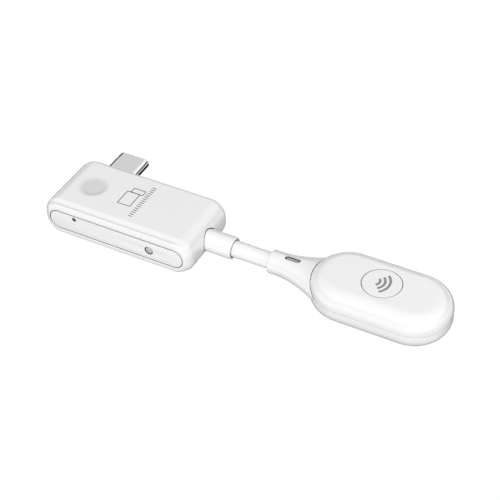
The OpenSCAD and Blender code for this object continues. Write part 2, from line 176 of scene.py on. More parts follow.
def ring_faces(count, rings, loop, offset=0):
    """Quads between rings of count points each, with flat caps unless the rings close on themselves."""
    faces = []
    last = rings if loop else rings - 1
    for k in range(last):
        a = offset + k * count
        b = offset + (k + 1) % rings * count
        for i in range(count):
            j = (i + 1) % count
            faces.append((a + i, a + j, b + j, b + i))
    if not loop:
        faces.append(tuple(offset + i for i in reversed(range(count))))
        faces.append(tuple(offset + (rings - 1) * count + i for i in range(count)))
    return faces


def skin(name, rings, loop=False, sharp=40):
    """A closed surface through rings of points."""
    rings = [np.asarray(r, float) for r in rings]
    return add_mesh(name, np.concatenate(rings), ring_faces(len(rings[0]), len(rings), loop), sharp)


def lathe(name, profile, origin, axis, loop=False, steps=64, sharp=40):
    """A surface of revolution: profile is (distance along axis, radius) pairs."""
    axis = Vector(axis)
    side = Vector((0, 0, 1)) if abs(axis.z) < 0.5 else Vector((1, 0, 0))
    side = (side - axis * side.dot(axis)).normalized()
    other = axis.cross(side)
    turn = [2 * math.pi * i / steps for i in range(steps)]
    rings = []
    for along, radius in profile:
        centre = Vector(origin) + axis * along
        rings.append([centre + (side * math.cos(a) + other * math.sin(a)) * radius for a in turn])
    return skin(name, rings, loop, sharp)


def outline(a, b, r, n_long, n_short, n_arc):
    """Half sizes a and b, corner radius r: points around a rounded rectangle."""
    corners = [(a - r, b - r, 0), (r - a, b - r, 90), (r - a, r - b, 180), (a - r, r - b, 270)]
    points = []
    for k, (cx, cy, start) in enumerate(corners):
        for i in range(n_arc + 1):
            t = math.radians(start + 90 * i / n_arc)
            points.append((cx + r * math.cos(t), cy + r * math.sin(t)))
        nx, ny, nstart = corners[(k + 1) % 4]
        t = math.radians(nstart)
        here, there = points[-1], (nx + r * math.cos(t), ny + r * math.sin(t))
        count = n_long if k % 2 == 0 else n_short
        for i in range(1, count + 1):
            w = i / (count + 1)
            points.append((here[0] + (there[0] - here[0]) * w, here[1] + (there[1] - here[1]) * w))
    return np.array(points)


def quarter(radius, steps):
    """(inset, rise) along a quarter-round edge, from the side to the top."""
    return [(radius * (1 - math.cos(t)), radius * math.sin(t))
            for t in (math.pi / 2 * i / steps for i in range(steps + 1))]


def smoothstep(x, low, high):
    """0 below low, 1 above high, and a smooth rise between them."""
    t = np.clip((x - low) / (high - low), 0, 1)
    return t * t * (3 - 2 * t)


def extrude_outline(name, loops, thickness, place, bevel=0.0, sharp=40):
    """A plate from closed outlines, the first outside and the others holes."""
    curve = bpy.data.curves.new(name, "CURVE")
    curve.dimensions = "2D"
    curve.fill_mode = "BOTH"
    for loop in loops:
        spline = curve.splines.new("POLY")
        spline.points.add(len(loop) - 1)
        for point, (x, y) in zip(spline.points, loop):
            point.co = (x, y, 0, 1)
        spline.use_cyclic_u = True
    curve.extrude = thickness / 2 - bevel
    curve.bevel_depth = bevel
    curve.bevel_resolution = 2
    curve.offset = -bevel
    holder = bpy.data.objects.new(name + "_outline", curve)
    bpy.context.scene.collection.objects.link(holder)
    bpy.context.view_layer.update()
    mesh = bpy.data.meshes.new_from_object(holder)
    bpy.data.objects.remove(holder)
    work = bmesh.new()
    work.from_mesh(mesh)
    bmesh.ops.remove_doubles(work, verts=work.verts, dist=1e-7)
    bmesh.ops.transform(work, matrix=place, verts=work.verts)
    bmesh.ops.recalc_face_normals(work, faces=work.faces)
    work.to_mesh(mesh)
    work.free()
    mesh.name = name
    mesh.polygons.foreach_set("use_smooth", [True] * len(mesh.polygons))
    mesh.set_sharp_from_angle(angle=math.radians(sharp))
    obj = bpy.data.objects.new(name, mesh)
    bpy.context.scene.collection.objects.link(obj)
    return obj


def carve(obj, tool):
    """Cuts the tool's shape out of a piece and keeps the result as its mesh."""
    tool.modifiers.clear()
    flats = obj.modifiers["flats"]
    obj.modifiers.remove(flats)
    cut = obj.modifiers.new("cut", "BOOLEAN")
    cut.operation = "DIFFERENCE"
    cut.solver = "EXACT"
    cut.object = tool
    bpy.context.view_layer.update()
    depsgraph = bpy.context.evaluated_depsgraph_get()
    carved = bpy.data.meshes.new_from_object(obj.evaluated_get(depsgraph))
    obj.modifiers.clear()
    old, obj.data = obj.data, carved
    bpy.data.meshes.remove(old)
    bpy.data.objects.remove(tool)
    carved.polygons.foreach_set("use_smooth", [True] * len(carved.polygons))
    carved.set_sharp_from_angle(angle=math.radians(40))
    weighted = obj.modifiers.new("flats", "WEIGHTED_NORMAL")
    weighted.keep_sharp = True


def circle_points(cx, cy, r, steps=48):
    """Points around a circle."""
    return [(cx + r * math.cos(2 * math.pi * i / steps), cy + r * math.sin(2 * math.pi * i / steps))
            for i in range(steps)]


# ---- materials ----


def new_material(name, colour, roughness, metallic=0.0):
    """A Principled material and its shader node."""
    mat = bpy.data.materials.new(name)
    mat.use_nodes = True
    shader = mat.node_tree.nodes["Principled BSDF"]
    shader.inputs["Base Color"].default_value = (*colour, 1)
    shader.inputs["Roughness"].default_value = roughness
    shader.inputs["Metallic"].default_value = metallic
    return mat, shader


def noise(mat, scale, detail=3.0, stretch=(1, 1, 1)):
    """A noise texture on object coordinates; scale is in cycles per metre."""
    nodes, links = mat.node_tree.nodes, mat.node_tree.links
    coords = nodes.new("ShaderNodeTexCoord")
    mapping = nodes.new("ShaderNodeMapping")
    mapping.inputs["Scale"].default_value = stretch
    texture = nodes.new("ShaderNodeTexNoise")
    texture.inputs["Scale"].default_value = scale
    texture.inputs["Detail"].default_value = detail
    links.new(coords.outputs["Object"], mapping.inputs["Vector"])
    links.new(mapping.outputs["Vector"], texture.inputs["Vector"])
    return texture.outputs["Fac"]


def spread(mat, source, low, high):
    """Maps a 0 to 1 value to a range."""
    node = mat.node_tree.nodes.new("ShaderNodeMapRange")
    node.inputs["To Min"].default_value = low
    node.inputs["To Max"].default_value = high
    mat.node_tree.links.new(source, node.inputs["Value"])
    return node.outputs["Result"]


def mix_colours(tree, factor, low, high):
    """A mix from low to high; each is another node's output or a plain colour."""
    mix = tree.nodes.new("ShaderNodeMix")
    mix.data_type = "RGBA"
    tree.links.new(factor, mix.inputs["Factor"])
    for name, value in (("A", low), ("B", high)):
        if isinstance(value, tuple):
            mix.inputs[name].default_value = (*value, 1)
        else:
            tree.links.new(value, mix.inputs[name])
    return mix.outputs["Result"]


def vary_colour(mat, shader, source, low, high):
    """Base colour between two colours."""
    mixed = mix_colours(mat.node_tree, source, low, high)
    mat.node_tree.links.new(mixed, shader.inputs["Base Color"])


def bump(mat, shader, source, strength, distance):
    """Shading bumps from a 0 to 1 value."""
    node = mat.node_tree.nodes.new("ShaderNodeBump")
    node.inputs["Strength"].default_value = strength
    node.inputs["Distance"].default_value = distance
    mat.node_tree.links.new(source, node.inputs["Height"])
    mat.node_tree.links.new(node.outputs["Normal"], shader.inputs["Normal"])


def plastic(name, colour, roughness, tone=0.012, grain=1800, grain_strength=0.06, coat=0.0):
    """Moulded plastic: faint mottling, uneven gloss and a very fine grain."""
    mat, shader = new_material(name, colour, roughness)
    low = tuple(max(0, c - tone) for c in colour)
    high = tuple(min(1, c + tone) for c in colour)
    vary_colour(mat, shader, noise(mat, 160), low, high)
    rough = spread(mat, noise(mat, 420, 4), roughness - 0.04, roughness + 0.05)
    mat.node_tree.links.new(rough, shader.inputs["Roughness"])
    bump(mat, shader, noise(mat, grain, 2), grain_strength, 0.02 * MM)
    shader.inputs["Coat Weight"].default_value = coat
    shader.inputs["Coat Roughness"].default_value = 0.10
    return mat


def metal(name, colour, roughness, stretch=(1, 1, 1), scale=900):
    """Metal with a finely uneven gloss, drawn out into streaks where stretch is uneven."""
    mat, shader = new_material(name, colour, roughness, 1.0)
    streak = noise(mat, scale, 4, stretch)
    rough = spread(mat, streak, roughness * 0.7, roughness * 1.4)
    mat.node_tree.links.new(rough, shader.inputs["Roughness"])
    low = tuple(c * 0.93 for c in colour)
    vary_colour(mat, shader, streak, low, colour)
    bump(mat, shader, streak, 0.05, 0.01 * MM)
    return mat


def board(name):
    """Green solder mask with copper traces showing through as lighter bands."""
    mat, shader = new_material(name, (0.02, 0.16, 0.08), 0.35)
    nodes, links = mat.node_tree.nodes, mat.node_tree.links
    coords = nodes.new("ShaderNodeTexCoord")
    bricks = nodes.new("ShaderNodeTexBrick")
    bricks.inputs["Scale"].default_value = 700
    bricks.inputs["Mortar Size"].default_value = 0.06
    bricks.inputs["Color1"].default_value = (0.015, 0.15, 0.07, 1)
    bricks.inputs["Color2"].default_value = (0.02, 0.19, 0.09, 1)
    bricks.inputs["Mortar"].default_value = (0.05, 0.30, 0.13, 1)
    links.new(coords.outputs["Object"], bricks.inputs["Vector"])
    links.new(bricks.outputs["Color"], shader.inputs["Base Color"])
    bump(mat, shader, bricks.outputs["Fac"], 0.2, 0.02 * MM)
    return mat


def white_with_grey_dish(name, colour, roughness, coat):
    """The case's plastic, with a slightly greyer round patch with a soft edge in the finger dish."""
    mat = plastic(name, colour, roughness, coat=coat)
    nodes, links = mat.node_tree.nodes, mat.node_tree.links
    shader = nodes["Principled BSDF"]
    coords = nodes.new("ShaderNodeTexCoord")
    shift = nodes.new("ShaderNodeVectorMath")
    shift.operation = "SUBTRACT"
    shift.inputs[1].default_value = (DISH["x"], DISH["y"], CASE_HI.z)
    links.new(coords.outputs["Object"], shift.inputs[0])
    reach = nodes.new("ShaderNodeVectorMath")
    reach.operation = "LENGTH"
    links.new(shift.outputs["Vector"], reach.inputs[0])
    fade = nodes.new("ShaderNodeMapRange")
    fade.interpolation_type = "SMOOTHSTEP"
    fade.inputs["From Min"].default_value = DISH["radius"] * 0.62
    fade.inputs["From Max"].default_value = DISH["radius"] * 1.08
    fade.inputs["To Min"].default_value = 1
    fade.inputs["To Max"].default_value = 0
    links.new(reach.outputs["Value"], fade.inputs["Value"])
    plain = shader.inputs["Base Color"].links[0].from_socket
    vary_colour(mat, shader, fade.outputs["Result"], plain, DISH_COLOUR)
    return mat


WHITE = (0.86, 0.86, 0.86)
DISH_COLOUR = (0.68, 0.68, 0.68)
COAT = 0.7

MATERIALS = {
    "case_white": white_with_grey_dish("case_white", WHITE, 0.30, COAT),
    "white_plastic": plastic("white_plastic_satin", WHITE, 0.30, coat=COAT),
    "panel_plastic": plastic("panel_plastic_satin", (0.84, 0.84, 0.84), 0.34),
    "soft_white": plastic("soft_white_elastomer", (0.89, 0.89, 0.89), 0.42, grain=2600, coat=COAT),
    "cable_jacket": plastic("cable_jacket_elastomer", (0.89, 0.89, 0.89), 0.40, grain=2600, coat=COAT),
    "wire_insulation": plastic("wire_insulation_red", (0.45, 0.06, 0.05), 0.45),
    "lens": plastic("lens_grey", (0.50, 0.50, 0.50), 0.22, coat=0.5),
    "lamp": plastic("lamp_resin", (0.75, 0.70, 0.40), 0.25),
    "dark_window": plastic("dark_window_smoked", (0.34, 0.34, 0.34), 0.16, coat=0.6),
    "dark_frame": plastic("dark_frame_matte", (0.035, 0.035, 0.035), 0.4, tone=0.003),
    # painted shade: the grey below colours the ring in the pod's seam groove, and the near-black colours
    # the rings in the gaps round the panel, lens, sleeve, button and cable mouths, standing in for the
    # shadow in those gaps
    "seam_shade": plastic("seam_shade_grey", (0.30, 0.30, 0.30), 0.6, tone=0.01),
    "gap_shade": plastic("gap_shade_black", (0.02, 0.02, 0.02), 0.6, tone=0.004),
    "plug_steel": metal("plug_steel_polished", (0.76, 0.76, 0.77), 0.10, (1, 0.08, 1)),
    "tin_plate": metal("tin_plate_satin", (0.66, 0.66, 0.68), 0.30),
    "black_plastic": plastic("black_plastic_matte", (0.03, 0.03, 0.032), 0.45, tone=0.004),
    "gold_contacts": metal("gold_plate", (0.85, 0.62, 0.25), 0.22),
    "circuit_board": board("circuit_board_green"),
    "ceramic": plastic("ceramic_tan", (0.55, 0.47, 0.34), 0.4, tone=0.03),
    "dark_rubber": plastic("dark_rubber_foam", (0.06, 0.06, 0.06), 0.7, grain_strength=0.3),
    "ink_pale": plastic("ink_pale_grey", (0.26, 0.26, 0.26), 0.45, tone=0.01),
    "ink": plastic("ink_grey", (0.17, 0.17, 0.17), 0.45, tone=0.01),
}


def dress(obj, slot, material=None):
    """Gives a piece the material named, or else the material of the record's slot."""
    obj.data.materials.clear()
    obj.data.materials.append(MATERIALS[material or slot])
    return obj


def dress_cad_nodes():
    """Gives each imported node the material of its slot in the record."""
    for part in frame["record"]["subparts"]:
        obj = frame["nodes"][part["node"]]
        obj.data.materials.clear()
        obj.data.materials.append(MATERIALS[part["material_slot"]])


# ---- plug case ----


def case_section(front_back, inset_x, inset_z, radius, wall=0.0):
    """One ring of the case in an XZ plane at front_back."""
    points = outline(CASE_L - wall - inset_x, CASE_H - wall - inset_z, radius, *CASE_POINTS)
    z_mid = (CASE_HI.z + CASE_LO.z) / 2
    return np.array([(x, front_back, z_mid + z) for x, z in points])


def corner_drop(depth, radius):
    """How far a round corner has come in at a distance from the end face."""
    gap = max(0.0, radius - depth)
    return radius - math.sqrt(max(0.0, radius * radius - gap * gap))


# (distance from the front face, fall) in millimetres of the soft bead along the case's front
# edge, which is highest at 0.48, and of the shallow valley behind it, which is lowest at 0.95
FRONT_BEAD = [(0, 1.40), (0.02, 1.06), (0.05, 0.85), (0.09, 0.69), (0.14, 0.57), (0.22, 0.46),
              (0.34, 0.38), (0.48, 0.36), (0.62, 0.38), (0.80, 0.42), (0.95, 0.44), (1.10, 0.435),
              (1.25, 0.41), (1.40, 0.36), (1.60, 0.27), (1.80, 0.17), (1.98, 0.08), (2.12, 0.03),
              (2.25, 0)]


def front_fall(depth):
    """How far the case's edge has come in at a distance from its front face."""
    return float(np.interp(depth / MM, *zip(*FRONT_BEAD))) * MM


def case_outer_sections():
    """Rings of the case's outside from its front face to its back face."""
    corner = [CASE_PLAN_ROUND * (1 - math.sin(t))
              for t in np.linspace(math.radians(77), 0, 12)]
    front = np.geomspace(0.03 * MM, CASE_PLAN_ROUND, 34)
    middle = np.linspace(CASE_PLAN_ROUND, 2 * CASE_W - CASE_PLAN_ROUND, 56)[1:-1]
    back = [2 * CASE_W - u for u in reversed(corner)] + [2 * CASE_W]
    rings = []
    for u in [*front, *middle, *back]:
        depth = min(u, 2 * CASE_W - u)
        dx, dz = corner_drop(depth, CASE_PLAN_ROUND), corner_drop(depth, CASE_EDGE_ROUND)
        if u <= CASE_PLAN_ROUND:
            dz = front_fall(u)
        rings.append(case_section(u - CASE_W, dx, dz, CASE_END_ROUND - dz))
    return rings


def press_dish(rings):
    """A shallow dish with a soft rim in the flat top."""
    for ring in rings:
        away = np.hypot(ring[:, 0] - DISH["x"], ring[:, 1] - DISH["y"])
        top = ring[:, 2] > CASE_HI.z - 0.5 * MM
        fall = DISH["depth"] * (1 - smoothstep(away, DISH["radius"] * 0.55, DISH["radius"]))
        ring[:, 2] -= np.where(top, fall, 0)


def slot_ring(x_mid, z_mid, half_l, half_h, y):
    """A stadium ring with the same number of points as a case section."""
    points = outline(half_l, half_h, half_h * STADIUM, *CASE_POINTS)
    return np.array([(x_mid + x, y, z_mid + z) for x, z in points])


def panel_size(grow):
    """Half length, half height and middle level of the front panel, grown all round."""
    half_l = (PANEL_HI.x - PANEL_LO.x) / 2
    half_h = (PANEL_HI.z - PANEL_LO.z) / 2
    return half_l + grow, half_h - PANEL_TRIM + grow, (PANEL_HI.z + PANEL_LO.z) / 2 - PANEL_TRIM


def on_front(ring):
    """Sets a ring's points on the front face, which falls away at its rounded ends."""
    over = np.clip(np.abs(ring[:, 0]) - (CASE_L - CASE_PLAN_ROUND), 0, CASE_PLAN_ROUND * 0.9)
    ring[:, 1] += CASE_PLAN_ROUND - np.sqrt(CASE_PLAN_ROUND ** 2 - over ** 2)
    return ring


def front_opening(panel_l, panel_h, panel_z):
    """Rings from the softened edge of the panel's opening out to the rim of the front face."""
    rings = []
    for inset, rise in quarter(EDGE, 4):
        ring = slot_ring(0, panel_z, panel_l + inset, panel_h + inset, -CASE_W + EDGE - rise)
        rings.append(on_front(ring))
    rim = case_section(-CASE_W, 0, CASE_EDGE_ROUND, CASE_END_ROUND - CASE_EDGE_ROUND)
    rim[:, 0] *= (CASE_L - CASE_PLAN_ROUND + FRONT_RIM) / CASE_L
    return rings + [on_front(rim)]


def sleeve_hole_tool():
    """The stepped hole for the sleeve in the case's +X end, as a solid to cut with."""
    seat, wide = CASE_HI.x - SLEEVE_SINK, SLEEVE_RADIUS + SLEEVE_GAP
    start, end, middle = SLEEVE_LO.x - 1 * MM, CASE_HI.x + 1 * MM, 0.05 * MM
    profile = [(start, middle), (start, SLEEVE_NECK_HOLE), (seat, SLEEVE_NECK_HOLE), (seat, wide),
               (end, wide), (end, middle)]
    return lathe("sleeve_tool", profile, (0, 0, LEAD_Z), (1, 0, 0), steps=96)


def plug_case_skin():
    """The case's shell, open at the front panel, the plug and the sleeve."""
    panel_l, panel_h, panel_z = panel_size(PANEL_GAP)
    outer = case_outer_sections()
    press_dish(outer)
    plug_l, plug_h = PLUG_L + PLUG_CLEARANCE, PLUG_H + PLUG_CLEARANCE
    edge = EDGE * 0.7
    back_hole = [slot_ring(PLUG_X, PLUG_Z, plug_l + inset, plug_h + inset, CASE_W - edge + rise)
                 for inset, rise in reversed(quarter(edge, 3))]
    inner_y = CASE_W - CASE_WALL
    inner = [slot_ring(PLUG_X, PLUG_Z, plug_l, plug_h, inner_y)]
    for y in (inner_y, -inner_y):
        inner.append(case_section(y, 0, 0, CASE_END_ROUND - CASE_WALL, CASE_WALL))
    inner.append(slot_ring(0, panel_z, panel_l, panel_h, -inner_y))
    front_hole = front_opening(panel_l, panel_h, panel_z)
    obj = skin("plug_case_skin", front_hole + outer + back_hole + inner, loop=True)
    carve(obj, sleeve_hole_tool())
    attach(obj, "case")
    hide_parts("plug_case")
    return dress(obj, "white_plastic", "case_white")


def along_y(x, y, z):
    """Places a flat XY outline in an XZ plane at y, with its thickness along Y."""
    return Matrix.Translation((x, y, z)) @ Matrix.Rotation(math.radians(90), 4, "X")


def front_panel_skin():
    """The front panel's plate, with holes for the lens and the microphone."""
    half_l, half_h, z_mid = panel_size(0)
    thick = PANEL_HI.y - PANEL_LO.y
    loops = [
        outline(half_l, half_h, half_h * STADIUM, 2, 1, 20),
        circle_points(LENS_X, LENS_Z - z_mid, LENS_RADIUS + 0.02 * MM),
        circle_points(MIC_X, MIC_Z - z_mid, PINHOLE_RADIUS),
    ]
    place = along_y(0, (PANEL_LO.y + PANEL_HI.y) / 2 + 0.02 * MM, z_mid)
    obj = extrude_outline("front_panel_skin", loops, thick, place, bevel=EDGE)
    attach(obj, "case")
    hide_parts("front_panel")
    return dress(obj, "panel_plastic")


def panel_gap_shade():
    """A thin dark ring in the gap round the front panel: painted shade, standing in for the shadow in
    the gap.
    """
    half_l, half_h, z_mid = panel_size(0)
    front = PANEL_LO.y + SHADE_RING_DEPTH
    rings = []
    for grow, y in ((-0.04 * MM, front), (PANEL_GAP + 0.04 * MM, front),
                    (PANEL_GAP + 0.04 * MM, front + 0.6 * MM), (-0.04 * MM, front + 0.6 * MM)):
        points = outline(half_l + grow, half_h + grow, (half_h + grow) * STADIUM, 60, 1, 24)
        rings.append([(x, y, z_mid + z) for x, z in points])
    obj = skin("panel_gap_shade", rings, loop=True)
    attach(obj, "case")
    return dress(obj, "dark_rubber", "gap_shade")


def round_gap_shade(name, inner, outer, centre, axis, depth, body):
    """A dark ring at the bottom of a round gap: painted shade, standing in for the gap's shadow."""
    profile = [(0, inner), (0, outer), (depth, outer), (depth, inner)]
    obj = lathe(name, profile, centre, axis, loop=True, steps=72)
    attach(obj, body)
    return dress(obj, "dark_rubber", "gap_shade")


def case_end_at(z):
    """X of the case's rounded +X end at height z."""
    over = max(0.0, abs(z - CASE_H) - (CASE_H - CASE_END_ROUND))
    return CASE_HI.x - CASE_END_ROUND + math.sqrt(CASE_END_ROUND ** 2 - over ** 2)


def sleeve_gap_shade():
    """A dark ring in the gap round the sleeve, which follows the case's rounded end: painted shade,
    standing in for the shadow in the gap.
    """
    rings = []
    steps = 96
    inner, outer = SLEEVE_RADIUS - DARK_TUCK, SLEEVE_RADIUS + SLEEVE_GAP + DARK_TUCK
    for radius, lift in ((inner, SHADE_RING_DEPTH), (outer, SHADE_RING_DEPTH), (outer, 0.3 * MM), (inner, 0.3 * MM)):
        ring = []
        for i in range(steps):
            t = 2 * math.pi * i / steps
            z = LEAD_Z + radius * math.sin(t)
            ring.append((case_end_at(z) - lift, radius * math.cos(t), z))
        rings.append(ring)
    obj = skin("sleeve_gap_shade", rings, loop=True)
    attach(obj, "case")
    return dress(obj, "dark_rubber", "gap_shade")


def pinhole_mesh():
    """The dark acoustic mesh just inside the pinhole."""
    r = PINHOLE_RADIUS + DARK_TUCK
    profile = [(0.20 * MM, 0.02 * MM), (0.18 * MM, r * 0.5), (0.12 * MM, r * 0.85), (0.12 * MM, r),
               (0.5 * MM, r), (0.5 * MM, 0.02 * MM)]
    obj = lathe("pinhole_mesh", profile, (MIC_X, PANEL_LO.y, MIC_Z), (0, 1, 0), steps=48)
    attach(obj, "case")
    return dress(obj, "dark_rubber", "dark_frame")


def lamp_lens_skin():
    """The lamp's lens: a low dome outside the panel, and a stem with a collar behind it."""
    depth = LENS_HI.y - LENS_LO.y
    r = LENS_RADIUS - LAMP_GAP
    profile = [(0.10 * MM, r * 0.02), (0.105 * MM, r * 0.35), (0.13 * MM, r * 0.65),
               (0.17 * MM, r * 0.85), (0.24 * MM, r * 0.96), (0.34 * MM, r),
               (CASE_WALL + 0.02 * MM, r), (CASE_WALL + 0.02 * MM, r * 1.3),
               (CASE_WALL + 0.5 * MM, r * 1.3), (CASE_WALL + 0.5 * MM, r), (depth * 0.7, r)]
    obj = lathe("lamp_lens_skin", profile, (LENS_X, LENS_LO.y, LENS_Z), (0, 1, 0))
    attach(obj, "case")
    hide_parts("lamp_lens")
    return dress(obj, "lens")


def lamp_gap_shade():
    """A dark ring in the gap round the lens: painted shade, standing in for the shadow in the gap."""
    outer = LENS_RADIUS + 0.04 * MM
    inner = LENS_RADIUS - LAMP_GAP - DARK_TUCK
    centre = (LENS_X, PANEL_LO.y + 0.14 * MM, LENS_Z)
    return round_gap_shade("lamp_gap_shade", inner, outer, centre, (0, 1, 0), 0.4 * MM, "case")


def mouth_gap_shades():
    """Dark rings in the gaps where the cable enters the sleeve and the neck: painted shade, standing in
    for the shadow in those gaps.
    """
    inner, outer = CABLE_RADIUS + 0.01 * MM, BORE_RADIUS + MOUTH_GAP + DARK_TUCK
    sleeve = (SLEEVE_HI.x - SHADE_RING_DEPTH, 0, LEAD_Z)
    neck = (NECK_LO.x + SHADE_RING_DEPTH, 0, LEAD_Z)
    round_gap_shade("sleeve_mouth_gap_shade", inner, outer, sleeve, (-1, 0, 0), 0.3 * MM, "case")
    round_gap_shade("neck_mouth_gap_shade", inner, outer, neck, (1, 0, 0), 0.3 * MM, "pod")


def button_gap_shade():
    """A dark ring in the gap round the button: painted shade, standing in for the shadow in the gap."""
    centre = (POD_X, 0, BUTTON_HI.z - 0.1 * MM)
    inner, outer = BUTTON_RADIUS + 0.01 * MM, BUTTON_RADIUS + BUTTON_GAP + 0.03 * MM
    return round_gap_shade("button_gap_shade", inner, outer, centre, (0, 0, -1), 0.4 * MM, "pod")


def plug_shell_skin():
    """The steel tube of the plug, with a rolled edge at its mouth."""
    wall = 0.3 * MM
    lip = wall / 2
    rings = []

    def ring(inset, y):
        points = outline(PLUG_L - inset, PLUG_H - inset, (PLUG_H - inset) * STADIUM, 12, 2, 16)
        rings.append([(PLUG_X + x, y, PLUG_Z + z) for x, z in points])

    for y in np.linspace(PLUG_LO.y, PLUG_HI.y - lip, 8):
        ring(0, y)
    for i in range(1, 8):
        t = math.pi * i / 8
        ring(lip - lip * math.cos(t), PLUG_HI.y - lip + lip * math.sin(t))
    for y in np.linspace(PLUG_HI.y - lip, PLUG_LO.y, 8):
        ring(wall, y)
    obj = skin("plug_shell_skin", rings, loop=True)
    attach(obj, "case")
    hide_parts("plug_shell")
    return dress(obj, "plug_steel")


# ---- marks printed on the case and the button ----


def frame_strip(points, width, closed=True):
    """The two edges of a line of even width along a path of points, mitred at the corners."""
    points = [Vector(p) for p in points]
    count = len(points)
    left, right = [], []
    for i, p in enumerate(points):
        before = points[i - 1] if closed or i else None
        after = points[(i + 1) % count] if closed or i < count - 1 else None
        d1 = (p - before).normalized() if before is not None else (after - p).normalized()
        d2 = (after - p).normalized() if after is not None else d1
        n1, n2 = Vector((-d1.y, d1.x)), Vector((-d2.y, d2.x))
        mitre = (n1 + n2).normalized()
        reach = width / 2 / max(0.3, mitre.dot(n1))
        left.append(p + mitre * reach)
        right.append(p - mitre * reach)
    return left, right


def ink_line(points, width, top, closed=True):
    """Vertices and faces of a printed line, a thin film that lies on the level top."""
    left, right = frame_strip(points, width, closed)
    count = len(left)
    verts = [(p.x, p.y, top + h) for h in (INK, -INK) for side in (left, right) for p in side]
    faces = []
    for i in range(count if closed else count - 1):
        j = (i + 1) % count
        a, b, c, d = i, j, count + j, count + i
        low = 2 * count
        faces += [(a, d, c, b), (low + a, low + b, low + c, low + d),
                  (a, b, low + b, low + a), (d, low + d, low + c, c)]
    if not closed:
        low = 2 * count
        end = count - 1
        faces += [(0, low, low + count, count),
                  (end, count + end, low + count + end, low + end)]
    return verts, faces


def join_lines(name, lines):
    """One piece from the vertices and faces of several printed lines."""
    verts, faces = [], []
    for v, f in lines:
        base = len(verts)
        verts += v
        faces += [tuple(base + i for i in face) for face in f]
    return add_mesh(name, verts, faces)


def rounded_loop(x0, x1, y0, y1, r):
    """Points around a rounded rectangle between two corners."""
    points = outline((x1 - x0) / 2, (y1 - y0) / 2, r, 1, 1, 5)
    return [((x0 + x1) / 2 + x, (y0 + y1) / 2 + y) for x, y in points]


def device_mark():
    """Plain outlines of a wide and a narrow screen, and a row of ticks, printed on the case."""
    top = CASE_HI.z
    wide = rounded_loop(-3.3 * MM, 0.1 * MM, -2.4 * MM, 2.35 * MM, 0.12 * MM)
    narrow = rounded_loop(-2.4 * MM, 0.8 * MM, 2.35 * MM, 3.95 * MM, 0.12 * MM)
    width = 0.24 * MM
    lines = [ink_line(wide, width, top), ink_line(narrow, width, top)]
    pitch, height, x = 0.75 * MM, 1.1 * MM, 2.0 * MM
    for i in range(16):
        y = -5.3 * MM + i * pitch
        lines.append(ink_line([(x - height / 2, y), (x + height / 2, y)], 0.26 * MM, top, closed=False))
    obj = join_lines("device_mark", lines)
    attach(obj, "case")
    return dress(obj, "white_plastic", "ink")


def switch_dome_skin():
    """The snap dome under the button's stem; a real one flattens when the button goes down, but this
    piece keeps its shape.
    """
    lo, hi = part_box("switch_dome")
    radius, height = (hi.x - lo.x) / 2, hi.z - lo.z - 0.01 * MM
    ball = (radius ** 2 + height ** 2) / (2 * height)
    thick = 0.06 * MM
    profile = []
    for i in range(13):
        r = radius * (1 - i / 12) + 0.02 * MM
        profile.append((math.sqrt(ball ** 2 - r * r) - ball + height, r))
    inside = [(max(0.0, along - thick), r) for along, r in reversed(profile)]
    obj = lathe("switch_dome_skin", profile + inside, (POD_X, 0, lo.z), (0, 0, 1), steps=48)
    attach(obj, "pod")
    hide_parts("switch_dome")
    dress(obj, "tin_plate")
    obj.modifiers.clear()
    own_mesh(obj)


def wave_mark():
    """Three plain arcs printed on the pairing button."""
    centre = Vector((POD_X - 1.95 * MM, 0))
    lines = []
    for radius in (1.4 * MM, 2.55 * MM, 3.7 * MM):
        angles = np.radians(np.linspace(-50, 50, 25))
        arc = [centre + Vector((math.cos(a), math.sin(a))) * radius for a in angles]
        lines.append(ink_line(arc, 0.6 * MM, BUTTON_HI.z, closed=False))
    obj = join_lines("wave_mark", lines)
    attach(obj, "button")
    return dress(obj, "white_plastic", "ink_pale")


# ---- lead ----


def case_sleeve_skin():
    """Strain relief: a flange and a groove in the case's end, and a round sleeve outside."""
    lip, recess, hollow = 0.3 * MM, 0.6 * MM, BORE_RADIUS + MOUTH_GAP
    mouth, shoulder = SLEEVE_HI.x, CASE_HI.x - SLEEVE_SINK + 0.02 * MM
    flange, groove = 3.1 * MM, 2.2 * MM
    seat = SLEEVE_LO.x + 1.08 * MM
    profile = [(SLEEVE_LO.x, BORE_RADIUS), (SLEEVE_LO.x, flange), (seat, flange), (seat, groove),
               (shoulder, groove)]
    profile += [(x, SLEEVE_RADIUS) for x in np.linspace(shoulder, mouth - lip, 14)]
    profile += [(mouth - lip + rise, SLEEVE_RADIUS - inset) for inset, rise in quarter(lip, 6)[1:]]
    profile += [(mouth, hollow + 0.05 * MM), (mouth - 0.05 * MM, hollow),
                (mouth - recess, hollow), (mouth - recess, BORE_RADIUS)]
    obj = lathe("case_sleeve_skin", profile, (0, 0, LEAD_Z), (1, 0, 0), loop=True, steps=96)
    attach(obj, "case")
    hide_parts("case_sleeve")
    return dress(obj, "soft_white")


def tube_rings(radius, inner, x0, x1, y=0.0, z=0.0, steps=64, rings=24):
    """Rings of a tube wall along X, outside forwards and inside backwards."""
    turn = [2 * math.pi * i / steps for i in range(steps)]
    out = [[(x, y + radius * math.cos(a), LEAD_Z + z + radius * math.sin(a)) for a in turn]
           for x in np.linspace(x0, x1, rings)]
    if inner:
        out += [[(x, y + inner * math.cos(a), LEAD_Z + z + inner * math.sin(a)) for a in turn]
                for x in np.linspace(x1, x0, rings)]
    return out


